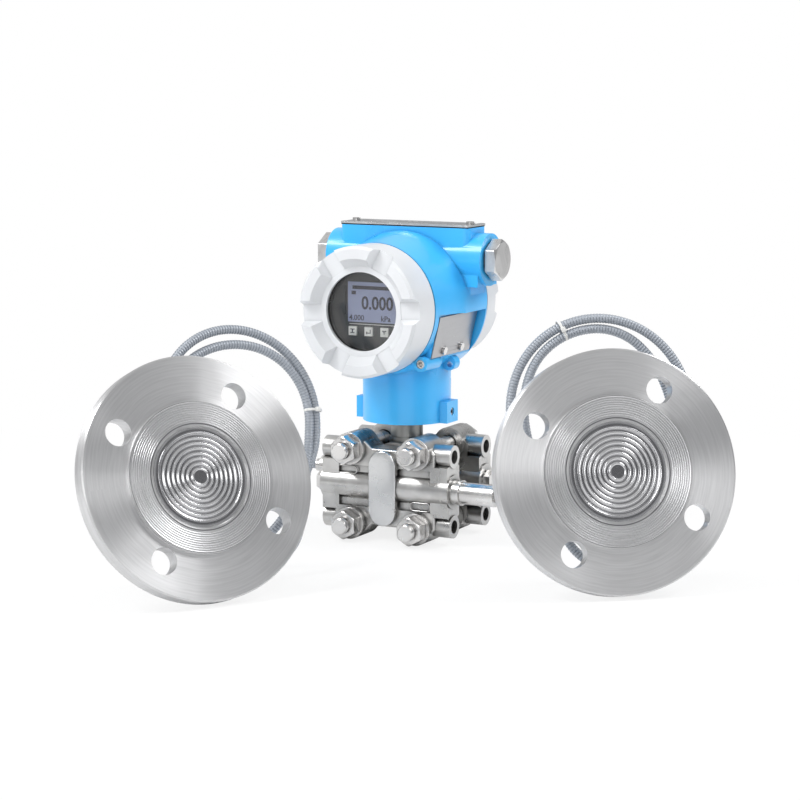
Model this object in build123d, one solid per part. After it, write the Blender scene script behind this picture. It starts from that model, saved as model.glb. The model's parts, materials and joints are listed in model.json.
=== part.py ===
from build123d import *
import os
from math import asin, cos, degrees, pi, radians, sin, tan

# Differential pressure transmitter with two remote diaphragm seals, sizes in millimetres.
# The transmitter faces -Y, its neck stands on the Z axis and the floor is at z = 0.
# Everything is moved at the end, so that the middle of the floor area is the origin.

# Clearances
run_gap = 0.05          # radial gap of a turning or sliding fit
free_gap = 0.3          # gap between neighbours that move against each other
thread_gap = 0.3        # radial gap where a thread is modelled plain

# Process flanges and the cell between them
port_y = 27.0           # distance of each process port from the neck axis
flange_depth = 24.0     # thickness of each process flange along Y
flange_half = 53.0      # half length of a process flange along X
cell_r = 31.0           # round cell body between the flanges
gasket_t = 1.5          # cell gasket at each flange
gasket_w = 5.0          # width of the gasket ring
bolt_r = 6.0            # M12 flange bolts
bolt_x = 27.3           # bolt spacing from the middle, along X
bolt_z = 28.0           # bolt spacing from the middle, along Z
bolt_hole_gap = 0.6     # radial gap of the bolt in its hole
washer_r = 12.0
washer_t = 2.5
nut_af = 19.0
nut_h = 10.0
head_h = 7.5
stud_over = 5.5         # bolt end standing out of its nut
valley_dip = 5.0        # how far the flange's middle lies below its bolt bosses
boss_half = 14.5        # half width of a bolt boss
boss_cut = 6.0          # chamfer of a bolt boss
band_r = 12.5           # round band along the flange, over the port passage
lug_r = 8.5             # round end lugs that carry the bracket holes
lug_z = 26.0            # end lugs from the flange's middle height
bracket_hole_r = 5.0
bracket_hole_depth = 16.0
ear_r = 21.0            # rounded ears at the ends of a flange
ear_t = 15.0
pad_w = 22.0            # smooth oval plate on the front flange
pad_h = 56.0
pad_t = 1.6
panel_dip = 2.5         # sunk panels each side of the oval plate
panel_edge = 6.0        # panel's end from the flange's end
panel_half_z = 15.5
cast_round = 1.6        # rounded edges of the castings
stub_r = 8.2            # welded stub tubes that carry the capillaries
stub_len = 34.0
stub_step = 1.2
cap_r = 3.25            # armoured capillary
port_plug_r = 7.0
port_plug_len = 6.0
port_plug_af = 14.0

# Stem and housing neck
stem_r = 12.0
stem_foot_r = 13.2
spigot_r = 10.5
neck_r = 33.0
neck_bottom = 87.0
spigot_len = 30.0
neck_lug_x = 38.0
neck_lug_w = 18.0
neck_lug_h = 16.0
set_screw_r = 3.0

# Housing drum, lying along Y
axis_z = 174.3
drum_over = 6.0         # drum beyond its collars
drum_front = -12.0
drum_back = 26.0
spigot_cover_r = 42.0   # threaded rim that carries each cover
seat_w = 6.0            # seat of the cover's seal, round the rim
collar_r = spigot_cover_r + seat_w
collar_front = -48.0
collar_back = 38.0
rim_len = 11.0
rim_wall = 4.0
wall_front = -6.0       # dividing wall between the two compartments
wall_back = 1.0
box_x = 53.5            # flat topped box above the drum
box_front = -6.5
box_back = 24.5
box_over = 3.0          # flat top above the drum
boss_y = 10.0           # cable entries
boss_down = 23.3        # axis of the cable entries below the flat top
boss_r = 19.3
boss_end = 64.0
entry_r = 10.0
entry_depth = 16.0
plate_t = 1.3
top_gasket_t = 0.9
lock_r = 5.5
lock_screw_r = 3.3
lock_angle = -47.5
lock_over = 4.5         # lock screw beyond the collar

# Covers
cover_wall = 5.8        # cover's wall round its thread
cover_draft = 0.2       # taper of the cover's side
cover_front = -79.5
cover_back = 61.0
cover_seal_t = 1.2
crown_depth = 7.3       # crown of a cover above the ring round its window
crown_rim = 7.0         # flat of the crown
crown_slope = 6.0       # width of the crown's inner slope
crown_edge = 2.0        # chamfer outside the crown
notch_count = 6
notch_w = 12.2          # floor of a notch for the hands or a bar
notch_draft = 3.1       # each side of a notch leans outwards by this much
notch_turn = 3.7
notch_dip = 0.3         # floor of a notch below the window's ring
window_r = 28.5
glass_r = 31.5
glass_t = 5.0
lip_t = 2.6

# Display
module_gap = 2.0        # between the display and the chamber's wall
module_front = -56.0
module_len = 34.0
bezel_t = 2.0
lcd_w = 40.0
lcd_h = 21.0
lcd_t = 1.6
lcd_up = 6.5
key_size = 6.6
key_pitch = 13.0
key_down = 15.5
key_reach = 1.2
key_travel = 0.8

# Cable entry plugs
plug_af = 27.0
plug_head = 8.5
plug_washer_t = 1.5
plug_shank = 13.0

# Plates and small screws
tag_w = 62.0
tag_h = 31.0
tag_t = 1.0
tag_reach = 48.0        # distance of the tag plate's face from the drum's axis
tag_tilt = 13.1
tag_screw_x = 14.0       # screws along the tag plate's lower edge
tag_screw_down = 11.0
tag_low = 9.4           # middle of the tag plate below the point opposite the axis
tag_y = -9.7
small_head_r = 2.9
small_head_h = 1.9
small_shank_r = 1.6
pivot_x = 47.5
pivot_y = 9.0
terminal_base_r = 30.0   # wiring terminals in the rear compartment
terminal_base_t = 10.0
terminal_rise = 10.0
terminal_half_x = 22.0
terminal_half_z = 8.0
terminal_pitch = 14.0
terminal_screw_r = 3.2
button_r = 3.5
button_x = 9.0
button_travel = 1.5
pocket_half_x = 20.0
pocket_half_y = 9.0
pocket_deep = 5.0

# Remote seals, flange DN 50 PN 16
seal_od = 165.0
seal_pcd = 125.0
seal_hole_r = 9.0
seal_t = 12.0
face_r = 51.0
face_h = 2.5
membrane_r = 28.5
membrane_t = 0.8
wave_count = 6
wave_h = 0.9
land_r = 34.5           # sunk ring round the membrane
land_dip = 1.0
neck_boss_r = 15.0
neck_boss_len = 32.0
exit_r = 6.0
exit_len = 4.0
seal_back_r = 40.0
seal_back_t = 3.0

# Where the seals stand, and how they are turned
left_at = (-22.5, -253.4)
left_turn = 58.5
left_lean = 20.0
left_roll = 11.4
left_exit = 90.0        # where the capillary leaves the boss behind the seal
right_at = (215.8, -114.4)
right_turn = 38.4
right_lean = 14.0
right_roll = 13.9
right_exit = 25.0

# Coils, each behind its seal
coil_gap = 40.6         # middle plane of a coil behind the seal's back
bundle_r = 8.0
left_coil_top_r = 57.0
right_coil_top_r = 61.0
coil_foot_r = 35.0
left_coil_span = 73.3   # between the middles of the coil's two ends
right_coil_span = 74.4
left_coil_side = 64.0
right_coil_side = 7.0
tie_w = 4.5
tie_t = 1.2

drum_r = collar_r + drum_over
chamber_r = spigot_cover_r - rim_wall
box_top = axis_z + drum_r + box_over
boss_z = box_top - boss_down
lock_reach = collar_r + lock_over
cover_base_r = spigot_cover_r + cover_wall
cover_side_r = cover_base_r - cover_draft
crown_r = cover_side_r - crown_edge
module_r = chamber_r - module_gap
mid_z = washer_r + bolt_z
inner_y = port_y - flange_depth / 2
outer_y = port_y + flange_depth / 2


def cyl_x(r, x0, x1, y, z):
    return Pos((x0 + x1) / 2, y, z) * Rot(0, 90, 0) * Cylinder(r, abs(x1 - x0))


def cyl_y(r, y0, y1, x=0.0, z=axis_z):
    return Pos(x, (y0 + y1) / 2, z) * Rot(90, 0, 0) * Cylinder(r, abs(y1 - y0))


def cyl_z(r, z0, z1, x=0.0, y=0.0):
    return Pos(x, y, (z0 + z1) / 2) * Cylinder(r, abs(z1 - z0))


def block(x0, x1, y0, y1, z0, z1):
    middle = Pos((x0 + x1) / 2, (y0 + y1) / 2, (z0 + z1) / 2)
    return middle * Box(x1 - x0, y1 - y0, z1 - z0)


def hex_y(af, y0, y1, x, z, turn=0.0):
    flat = RegularPolygon(af / 2, 6, major_radius=False, rotation=turn)
    plane = Plane(origin=(x, y1, z), x_dir=(1, 0, 0), z_dir=(0, -1, 0))
    return extrude(plane * flat, y1 - y0)


def hex_x(af, x0, x1, y, z):
    flat = RegularPolygon(af / 2, 6, major_radius=False, rotation=90)
    plane = Plane(origin=(x0, y, z), x_dir=(0, 1, 0), z_dir=(1, 0, 0))
    return extrude(plane * flat, x1 - x0)


def turned_y(points):
    """A solid turned about the drum's axis from (y, radius) points."""
    corners = [(y, r) for y, r in points]
    face = make_face(Polyline(*corners, close=True))
    plane = Plane(origin=(0, 0, axis_z), x_dir=(0, 1, 0), z_dir=(1, 0, 0))
    return revolve(plane * face, Axis((0, 0, axis_z), (0, 1, 0)), 360)


# Process side

def flange_outline():
    """Outline of a process flange seen from the front, before its bands and lugs."""
    top = bolt_z + boss_cut
    low = top - valley_dip
    wide = bolt_x + boss_half
    near = bolt_x - boss_half
    right = [
        (near - valley_dip / 2, low), (near + boss_cut / 2, top), (wide - boss_cut, top),
        (wide, top - boss_cut), (wide, -top + boss_cut), (wide - boss_cut, -top),
        (near + boss_cut / 2, -top), (near - valley_dip / 2, -low),
    ]
    left = [(-x, z) for x, z in reversed(right)]
    face = make_face(Polyline(*right, *left, close=True))
    return fillet(face.vertices(), cast_round)


def flange_holes(side, y0, y1):
    """Bolt holes and bracket holes of one flange; side is -1 for the front one."""
    holes = []
    for sx in (-1, 1):
        for sz in (-1, 1):
            z = mid_z + sz * bolt_z
            holes.append(cyl_y(bolt_r + bolt_hole_gap, y0 - 20, y1 + 20, sx * bolt_x, z))
            lug = mid_z + sz * lug_z
            start = sx * (flange_half - bracket_hole_depth)
            holes.append(cyl_x(bracket_hole_r, start, sx * (flange_half + 1), side * port_y, lug))
        port = sx * (flange_half - stub_len / 4)
        radius = port_plug_r if sx == side else stub_r
        holes.append(cyl_x(radius, port, sx * (flange_half + 10), side * port_y, mid_z))
    return holes


def sunk_panels(side):
    """Shallow panels in a flange's outer face, between its bolt rows and its ends."""
    depth = outer_y - 2 - panel_dip
    near = pad_w / 2 - 1
    far = flange_half - panel_edge
    panels = []
    for sx in (-1, 1):
        x0, x1 = sorted((sx * near, sx * far))
        y0, y1 = sorted((side * depth, side * (outer_y + 1)))
        panel = block(x0, x1, y0, y1, mid_z - panel_half_z, mid_z + panel_half_z)
        panels.append(fillet(panel.edges().filter_by(Axis.Y), 2 * cast_round))
    return panels


def process_flange(side):
    """Cast flange with bolt bosses, a round band over the port and round end lugs."""
    y0 = min(side * inner_y, side * outer_y)
    y1 = max(side * inner_y, side * outer_y)
    plane = Plane(origin=(0, y1 - 2, mid_z), x_dir=(1, 0, 0), z_dir=(0, -1, 0))
    body = extrude(plane * flange_outline(), flange_depth - 4)
    body = fillet(body.faces().sort_by(Axis.Y)[0 if side < 0 else -1].edges(), cast_round)
    body -= sunk_panels(side)
    body += cyl_x(band_r, -flange_half, flange_half, side * port_y, mid_z)
    for sx in (-1, 1):
        for sz in (-1, 1):
            z = mid_z + sz * lug_z
            body += cyl_x(lug_r, sx * bolt_x, sx * flange_half, side * port_y, z)
            body += cyl_y(washer_r, y0, y1, sx * bolt_x, mid_z + sz * bolt_z)
        ear = cyl_x(ear_r, sx * (flange_half - ear_t), sx * (flange_half - 1), side * port_y, mid_z)
        body += ear & block(-flange_half, flange_half, y0 + 2, y1 - 2, 0, 2 * mid_z)
    body += cyl_y(cell_r, side * inner_y, side * (inner_y + 4), 0, mid_z)
    inside = sorted((0, side * inner_y))
    body -= block(-2 * flange_half, 2 * flange_half, inside[0], inside[1], 0, 2 * mid_z)
    for hole in flange_holes(side, y0, y1):
        body -= hole
    return body


def oval_pad():
    """Smooth oval plate standing on the front flange."""
    plane = Plane(origin=(0, -outer_y + 2, mid_z), x_dir=(1, 0, 0), z_dir=(0, -1, 0))
    pad = extrude(plane * (Rot(0, 0, 90) * SlotOverall(pad_h, pad_w)), 2 + pad_t)
    return pad


def sensor_body():
    """Round cell between the flanges with the stem that carries the housing."""
    flat = inner_y - gasket_t
    body = cyl_y(cell_r, -flat, flat, 0, mid_z)
    body += cyl_z(stem_foot_r, mid_z, mid_z + cell_r + 3)
    body += cyl_z(stem_r, mid_z, neck_bottom)
    body += cyl_z(spigot_r, neck_bottom - 1, neck_bottom + spigot_len)
    return body


def cell_gaskets():
    rings = []
    for side in (-1, 1):
        y0 = side * (inner_y - gasket_t)
        y1 = side * inner_y
        ring = cyl_y(cell_r - 1, y0, y1, 0, mid_z) - cyl_y(cell_r - 1 - gasket_w, y0, y1, 0, mid_z)
        rings.append(ring)
    return Compound(rings)


def bolt_places():
    for sx, across in ((-1, "left"), (1, "right")):
        for sz, level in ((1, "upper"), (-1, "lower")):
            yield f"{level}_{across}", sx * bolt_x, mid_z + sz * bolt_z


def flange_bolt(x, z):
    """Long bolt with its head behind the rear flange and its end at the front."""
    front = -outer_y - washer_t - nut_h - stud_over
    shank = cyl_y(bolt_r, front, outer_y + 1, x, z)
    shank = chamfer(shank.faces().sort_by(Axis.Y)[0].edges(), 1.0)
    return shank + hex_y(nut_af, outer_y, outer_y + head_h, x, z, 30)


def flange_nut(x, z):
    y1 = -outer_y - washer_t
    nut = hex_y(nut_af, y1 - nut_h, y1, x, z, 30)
    nut &= cyl_y(nut_af / 2 * 1.13, y1 - nut_h, y1, x, z)
    return nut - cyl_y(bolt_r, y1 - nut_h - 1, y1 + 1, x, z)


def flange_washers():
    rings = []
    for _, x, z in bolt_places():
        ring = cyl_y(washer_r, -outer_y - washer_t, -outer_y, x, z)
        rings.append(ring - cyl_y(bolt_r, -outer_y - washer_t - 1, -outer_y + 1, x, z))
    return Compound(rings)


def stub_tube(sx, side):
    """Welded stub in a flange end, stepped down to the armoured capillary."""
    start = sx * (flange_half - stub_len / 4)
    end = sx * (flange_half + stub_len)
    y = side * port_y
    tube = cyl_x(stub_r, start, end, y, mid_z)
    tube += cyl_x(stub_r + stub_step, sx * flange_half, sx * (flange_half + 7), y, mid_z)
    tube += cyl_x(cap_r + 1.6, end - sx, end + sx * 5, y, mid_z)
    return tube


def port_plug(sx, side):
    start = sx * (flange_half - stub_len / 4)
    y = side * port_y
    plug = cyl_x(port_plug_r, start, sx * (flange_half + 2), y, mid_z)
    head = sorted((sx * (flange_half + 1), sx * (flange_half + port_plug_len)))
    return plug + hex_x(port_plug_af, head[0], head[1], y, mid_z)


# Housing

def drum_profile():
    return [
        (collar_front - rim_len, 0), (collar_front - rim_len, spigot_cover_r),
        (collar_front, spigot_cover_r), (collar_front, collar_r),
        (collar_front + 3, collar_r), (drum_front - 2, drum_r - 1.5),
        (drum_front + 1, drum_r), (drum_back - 1, drum_r), (drum_back + 2, drum_r - 1.5),
        (collar_back - 3, collar_r), (collar_back, collar_r),
        (collar_back, spigot_cover_r), (collar_back + rim_len, spigot_cover_r),
        (collar_back + rim_len, 0),
    ]


def tag_plane():
    """Plane of the tag plate's back, on the lower right side of the drum."""
    out = Vector(cos(radians(tag_tilt)), 0, -sin(radians(tag_tilt)))
    down = Vector(-sin(radians(tag_tilt)), 0, -cos(radians(tag_tilt)))
    middle = Vector(0, tag_y, axis_z) + out * (tag_reach - tag_t) + down * tag_low
    return Plane(origin=middle, x_dir=(0, 1, 0), z_dir=out)


def neck_lugs():
    right = block(neck_r - 9, neck_lug_x, -neck_lug_w / 2, neck_lug_w / 2,
                  neck_bottom, neck_bottom + neck_lug_h)
    return right + mirror(right, Plane.YZ)


def lock_middle():
    turn = radians(lock_angle)
    return lock_reach * cos(turn), axis_z + lock_reach * sin(turn)


def housing():
    """Die-cast drum with two compartments, flat top box, cable entries and neck."""
    body = turned_y(drum_profile())
    top = block(-box_x, box_x, box_front, box_back, axis_z + 8, box_top)
    top = fillet(top.edges().filter_by(Axis.Z), 5)
    body += top
    body += cyl_x(boss_r, -boss_end, boss_end, boss_y, boss_z)
    body += block(-boss_end + 3, boss_end - 3, boss_y - boss_r + 3, boss_y + boss_r - 3,
                  boss_z - boss_r, boss_z)
    body += cyl_z(neck_r, neck_bottom, axis_z - 30)
    body += neck_lugs()
    pad = tag_plane()
    body -= pad * Pos(0, 0, 10) * Box(tag_w + 4, tag_h + 4, 20)
    body += pad * Pos(0, 0, -6) * Box(tag_w + 1, tag_h + 1, 12)
    lock_x, lock_z = lock_middle()
    body += cyl_y(lock_r, collar_front, -24, lock_x, lock_z)
    body += cyl_y(5.5, -4, 4, 36.5, 131.5)
    body -= cyl_y(2.2, -6, 6, 37.5, 130.5)
    body -= cyl_y(lock_screw_r, collar_front - 1, collar_front + 9, lock_x, lock_z)
    body -= cyl_y(chamber_r, collar_front - rim_len - 1, wall_front)
    body -= cyl_y(chamber_r, wall_back, collar_back + rim_len + 1)
    for sx in (-1, 1):
        body -= cyl_x(entry_r, sx * (boss_end - entry_depth), sx * (boss_end + 1), boss_y, boss_z)
        body -= cyl_x(set_screw_r, sx * (neck_lug_x - 10), sx * (neck_lug_x + 1), 0,
                      neck_bottom + neck_lug_h / 2)
        body -= cyl_z(small_shank_r, box_top - 6, box_top + 1, sx * pivot_x, pivot_y)
        body -= cyl_z(button_r + run_gap, box_top - 14, box_top, sx * button_x, boss_y)
    body -= block(-pocket_half_x, pocket_half_x, boss_y - pocket_half_y,
                  boss_y + pocket_half_y, box_top - pocket_deep, box_top + 1)
    body -= cyl_z(spigot_r + run_gap, neck_bottom - 1, neck_bottom + spigot_len + 1)
    for place in tag_screw_places():
        body -= place * Pos(0, 0, -2) * Cylinder(small_shank_r, 10)
    return body


def tag_screw_places():
    for sx in (-1, 1):
        yield tag_plane() * Pos(sx * tag_screw_x, -tag_screw_down, 0)


def tag_plate():
    plate = tag_plane() * Pos(0, 0, tag_t / 2) * Box(tag_w, tag_h, tag_t)
    for place in tag_screw_places():
        plate -= place * Cylinder(small_shank_r, 10)
    return plate


def tag_screws():
    screws = []
    for place in tag_screw_places():
        head = place * Pos(0, 0, tag_t + small_head_h / 2) * Cylinder(small_head_r, small_head_h)
        shank = place * Pos(0, 0, tag_t - 2.5) * Cylinder(small_shank_r, 5)
        screws.append(head + shank)
    return Compound(screws)


def set_screws():
    screws = []
    for sx in (-1, 1):
        z = neck_bottom + neck_lug_h / 2
        screw = cyl_x(set_screw_r, sx * (neck_lug_x - 10), sx * (neck_lug_x - 0.8), 0, z)
        socket = sorted((sx * (neck_lug_x - 4), sx * neck_lug_x))
        screws.append(screw - hex_x(set_screw_r, socket[0], socket[1], 0, z))
    return Compound(screws)


def lock_screw():
    """Socket set screw that locks the front cover."""
    x, z = lock_middle()
    screw = cyl_y(lock_screw_r, collar_front + 0.5, collar_front + 9, x, z)
    return screw - hex_y(lock_screw_r, collar_front, collar_front + 3.5, x, z)


def cover_seal(side):
    start = collar_front if side < 0 else collar_back
    end = start + side * cover_seal_t
    ring = cyl_y(collar_r - 0.8, start, end)
    return ring - cyl_y(spigot_cover_r + thread_gap, start, end)


def cover_body(seat, front, side):
    """Turned cap with a crown at its front, notched for the hands or a bar; side is -1 for the front cover."""
    level = front - side * crown_depth
    inner = crown_r - crown_rim
    body = turned_y([
        (seat, 0), (seat, cover_base_r), (front - side * 2 * crown_edge, cover_side_r),
        (front - side * crown_edge, cover_side_r), (front, crown_r), (front, inner),
        (level, inner - crown_slope), (level, 0),
    ])
    low = notch_w / 2
    reach = 2 * crown_depth
    wide = low + notch_draft * reach / crown_depth
    outline = Polyline((-low, -notch_dip), (low, -notch_dip), (wide, reach), (-wide, reach), close=True)
    start = Plane(origin=(inner - crown_slope - notch_dip, 0, 0), x_dir=(0, 1, 0), z_dir=(1, 0, 0))
    notch = extrude(start * make_face(outline), cover_base_r)
    place = Pos(0, level, axis_z) * Rot(-90 * side, 0, 0)
    for k in range(notch_count):
        body -= place * Rot(0, 0, notch_turn + 360 / notch_count * k) * notch
    return body


def front_cover():
    """Screwed ring with a lip that holds the window."""
    back = collar_front - cover_seal_t
    level = cover_front + crown_depth
    seat = level + lip_t + glass_t
    body = cover_body(back, cover_front, -1)
    body -= cyl_y(window_r, level - 1, back + 1)
    body -= cyl_y(glass_r, level + lip_t, back + 1)
    body -= cyl_y(spigot_cover_r + thread_gap, seat + 3, back + 1)
    return body


def window_glass():
    start = cover_front + crown_depth + lip_t
    return cyl_y(glass_r, start, start + glass_t)


def glass_ring():
    """Clamp ring behind the glass."""
    start = cover_front + crown_depth + lip_t + glass_t
    return cyl_y(glass_r, start, start + 3) - cyl_y(window_r, start, start + 3)


def rear_cover():
    """Blind screwed cover of the wiring compartment."""
    front = collar_back + cover_seal_t
    body = cover_body(front, cover_back, 1)
    body -= cyl_y(spigot_cover_r + thread_gap, front - 1, collar_back + rim_len + 1)
    return body


def display_module():
    body = cyl_y(module_r, module_front, module_front + module_len)
    body += cyl_y(10, module_front + module_len - 1, wall_front)
    body -= block(-lcd_w / 2, lcd_w / 2, module_front - 1, module_front + 3,
                  axis_z + lcd_up - lcd_h / 2, axis_z + lcd_up + lcd_h / 2)
    for x in key_places():
        body -= key_block(x, run_gap, module_front - 1, module_front + 6)
    return body


def display_bezel():
    """Front plate of the display with openings for the panel and the keys."""
    body = cyl_y(module_r, module_front - bezel_t, module_front)
    body -= block(-lcd_w / 2, lcd_w / 2, module_front - bezel_t - 1, module_front + 1,
                  axis_z + lcd_up - lcd_h / 2, axis_z + lcd_up + lcd_h / 2)
    for x in key_places():
        body -= key_block(x, run_gap, module_front - bezel_t - 1, module_front + 1)
    return body


def key_places():
    return [-key_pitch, 0.0, key_pitch]


def key_block(x, gap, y0, y1):
    half = key_size / 2 + gap
    z = axis_z - key_down
    return block(x - half, x + half, y0, y1, z - half, z + half)


def display_key(x):
    start = module_front - bezel_t - key_reach
    return key_block(x, 0, start, module_front + 6 - key_travel - free_gap)


def lcd_panel():
    start = module_front + 3 - lcd_t
    return block(-lcd_w / 2, lcd_w / 2, start, module_front + 3,
                 axis_z + lcd_up - lcd_h / 2, axis_z + lcd_up + lcd_h / 2)


def terminal_block():
    """Wiring terminals standing on the dividing wall of the rear compartment."""
    front = wall_back + terminal_base_t
    body = cyl_y(terminal_base_r, wall_back, front)
    body += block(-terminal_half_x, terminal_half_x, front - 1, front + terminal_rise,
                  axis_z - terminal_half_z, axis_z + terminal_half_z)
    for k in range(3):
        x = (k - 1) * terminal_pitch
        face = front + terminal_rise
        body -= cyl_y(terminal_screw_r, face - 5, face + 1, x, axis_z)
        body -= block(x - terminal_screw_r, x + terminal_screw_r, face - 8, face - 3,
                      axis_z - terminal_half_z - 1, axis_z - 3)
    return body


def top_gasket():
    sheet = block(-box_x + 1, box_x - 1, box_front + 1, box_back - 1, box_top, box_top + top_gasket_t)
    sheet -= block(-pocket_half_x, pocket_half_x, boss_y - pocket_half_y, boss_y + pocket_half_y,
                   box_top - 1, box_top + 2)
    for sx in (-1, 1):
        sheet -= cyl_z(small_shank_r + 0.4, box_top - 1, box_top + 2, sx * pivot_x, pivot_y)
    return sheet


def top_plate():
    """Plate over the push buttons; it swings about its left screw once the right one is loose."""
    low = box_top + top_gasket_t
    sheet = block(-box_x, box_x, box_front, box_back, low, low + plate_t)
    sheet = fillet(sheet.edges().filter_by(Axis.Z), 3)
    sheet -= cyl_z(small_shank_r + run_gap, low - 1, low + 3, -pivot_x, pivot_y)
    slot_r = small_shank_r + free_gap
    sheet -= cyl_z(slot_r, low - 1, low + 3, pivot_x, pivot_y)
    arm = 2 * pivot_x
    slot = cyl_z(arm + slot_r, low - 1, low + 3, -pivot_x, pivot_y)
    slot -= cyl_z(arm - slot_r, low - 2, low + 4, -pivot_x, pivot_y)
    return sheet - (slot & block(0, 2 * box_x, pivot_y, 2 * box_back, low - 1, low + 3))


def plate_screw(sx):
    low = box_top + top_gasket_t + plate_t + 0.05
    screw = cyl_z(small_head_r, low, low + small_head_h, sx * pivot_x, pivot_y)
    return screw + cyl_z(small_shank_r, box_top - 5, low + 0.5, sx * pivot_x, pivot_y)


def push_button(sx):
    top = box_top - 0.6
    return cyl_z(button_r, top - 7, top, sx * button_x, boss_y)


def plug_washer(sx):
    end = boss_end + plug_washer_t
    ring = cyl_x(plug_af / 2 - 0.6, sx * boss_end, sx * end, boss_y, boss_z)
    return ring - cyl_x(entry_r, sx * (boss_end - 1), sx * (end + 1), boss_y, boss_z)


def entry_plug(sx):
    """Hexagon plug of a cable entry, corner up as it was tightened."""
    start = boss_end + plug_washer_t
    ends = sorted((sx * start, sx * (start + plug_head)))
    head = hex_x(plug_af, ends[0], ends[1], boss_y, boss_z)
    head &= cyl_x(plug_af / 2 * 1.14, ends[0], ends[1], boss_y, boss_z)
    shank = cyl_x(entry_r - thread_gap, sx * (start - plug_shank), sx * (start + 1), boss_y, boss_z)
    return head + shank


# Remote seals

def seal_place(at, turn, lean):
    """Local frame of a seal: z out of its face, y up its face, origin in the flange's face."""
    out = Vector(sin(radians(turn)) * cos(radians(lean)), -cos(radians(turn)) * cos(radians(lean)),
                 sin(radians(lean)))
    across = Vector(cos(radians(turn)), sin(radians(turn)), 0)
    height = seal_od / 2 * cos(radians(lean)) + seal_t * sin(radians(lean))
    return Plane(origin=(at[0], at[1], height), x_dir=across, z_dir=out)


def seal_flange(roll):
    """Blind flange with a raised face, the sunk land of the membrane and four bolt holes."""
    body = Pos(0, 0, -seal_t / 2) * Cylinder(seal_od / 2, seal_t)
    body = chamfer(body.edges().sort_by(Axis.Z)[-1], 1.0)
    body += Pos(0, 0, face_h / 2) * Cylinder(face_r, face_h)
    body -= Pos(0, 0, face_h) * Cylinder(land_r, 2 * land_dip)
    for k in range(4):
        turn = radians(roll + 45 + 90 * k)
        place = Pos(seal_pcd / 2 * cos(turn), seal_pcd / 2 * sin(turn), -seal_t / 2)
        body -= place * Cylinder(seal_hole_r, seal_t + 2)
    return body


def membrane():
    """Thin corrugated membrane with a flat middle."""
    base = face_h - land_dip
    step = (membrane_r - 8) / (2 * wave_count)
    upper = [(0, base + membrane_t), (7.0, base + membrane_t)]
    for k in range(2 * wave_count):
        radius = 8 + step * (k + 0.5)
        lift = wave_h if k % 2 else 0
        upper.append((radius, base + membrane_t + lift))
    upper += [(membrane_r, base + membrane_t), (land_r - 1, base + membrane_t)]
    outline = upper + [(land_r - 1, base), (0, base)]
    face = Plane.XZ * make_face(Polyline(*outline, close=True))
    return revolve(face, Axis.Z, 360)


def seal_neck(exit_turn):
    """Round boss behind the seal with a socket for the capillary at its side."""
    body = Pos(0, 0, -seal_t - seal_back_t / 2) * Cylinder(seal_back_r, seal_back_t)
    deep = seal_t + seal_back_t
    body += Pos(0, 0, -deep - neck_boss_len / 2) * Cylinder(neck_boss_r, neck_boss_len)
    socket = Pos((neck_boss_r + exit_len) / 2, 0, -deep - neck_boss_len / 2)
    socket = socket * Rot(0, 90, 0) * Cylinder(exit_r, neck_boss_r + exit_len)
    return body + Rot(0, 0, exit_turn) * socket


def coil_back():
    """Depth of a coil's middle plane in the seal's local frame."""
    return -seal_t - seal_back_t - coil_gap


def coil_foot_y(lean):
    """Middle of the coil's lower end, so that the coil stands on the floor."""
    tilt = radians(lean)
    height = seal_od / 2 * cos(tilt) + seal_t * sin(tilt)
    return (bundle_r - height - coil_back() * sin(tilt)) / cos(tilt) + coil_foot_r


def coil_solid(lean, span, side, coil_top_r):
    """Closed ring of the coil's outer shape, wide above and narrower at its foot."""
    slope = asin((coil_top_r - coil_foot_r) / span)
    foot = Vector(side, coil_foot_y(lean), coil_back())
    top = foot + Vector(0, span, 0)
    extra = degrees(slope)
    ring = coil_arc(top, coil_top_r, -extra, 180 + 2 * extra)
    ring += coil_arc(foot, coil_foot_r, 180 + extra, 180 - 2 * extra)
    length = span * cos(slope)
    for sx in (-1, 1):
        low = foot + Vector(sx * coil_foot_r * cos(slope), -coil_foot_r * sin(slope), 0)
        high = top + Vector(sx * coil_top_r * cos(slope), -coil_top_r * sin(slope), 0)
        ring += Plane(origin=(low + high) * 0.5, z_dir=high - low) * Cylinder(bundle_r, length)
    return ring


def coil_arc(centre, radius, first, sweep_angle):
    section = Plane(origin=(radius, 0, 0), x_dir=(1, 0, 0), z_dir=(0, -1, 0)) * Circle(bundle_r)
    return Pos(centre) * Rot(0, 0, first) * revolve(section, Axis.Z, sweep_angle)


def cable_tie(lean, span, side, coil_top_r, turn):
    """Strap round the bundle, on the coil's upper end."""
    top = Vector(side, coil_foot_y(lean) + span, coil_back())
    ring = Cylinder(bundle_r + tie_t, tie_w) - Cylinder(bundle_r, tie_w + 1)
    lock = Pos(bundle_r + tie_t + 1.4, 0, 0) * Box(3.4, 4.6, tie_w + 0.6)
    strap = ring + lock
    at = Vector(coil_top_r * cos(radians(turn)), coil_top_r * sin(radians(turn)), 0)
    along = Vector(-sin(radians(turn)), cos(radians(turn)), 0)
    return Plane(origin=top + at, x_dir=at, z_dir=along) * strap


def tube_along(points):
    """Tube on straight runs joined by arcs as large as the runs allow."""
    route = [Vector(*p) for p in points]
    runs = [b - a for a, b in zip(route, route[1:])]
    radii = []
    for first, second in zip(runs, runs[1:]):
        half = radians(first.get_angle(second)) / 2
        radii.append(0.45 * min(first.length, second.length) / tan(half))
    print("radii", [round(r, 1) for r in radii], "longest run", round(max(r.length for r in runs), 1))
    line = FilletPolyline(*route, radius=radii)
    end = Plane(origin=line @ 0, z_dir=line % 0)
    tube = sweep(end * Circle(cap_r), path=line)
    print("length", round(line.length, 1), "volume share", round(tube.volume / (pi * cap_r ** 2 * line.length), 4))
    return tube


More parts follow.
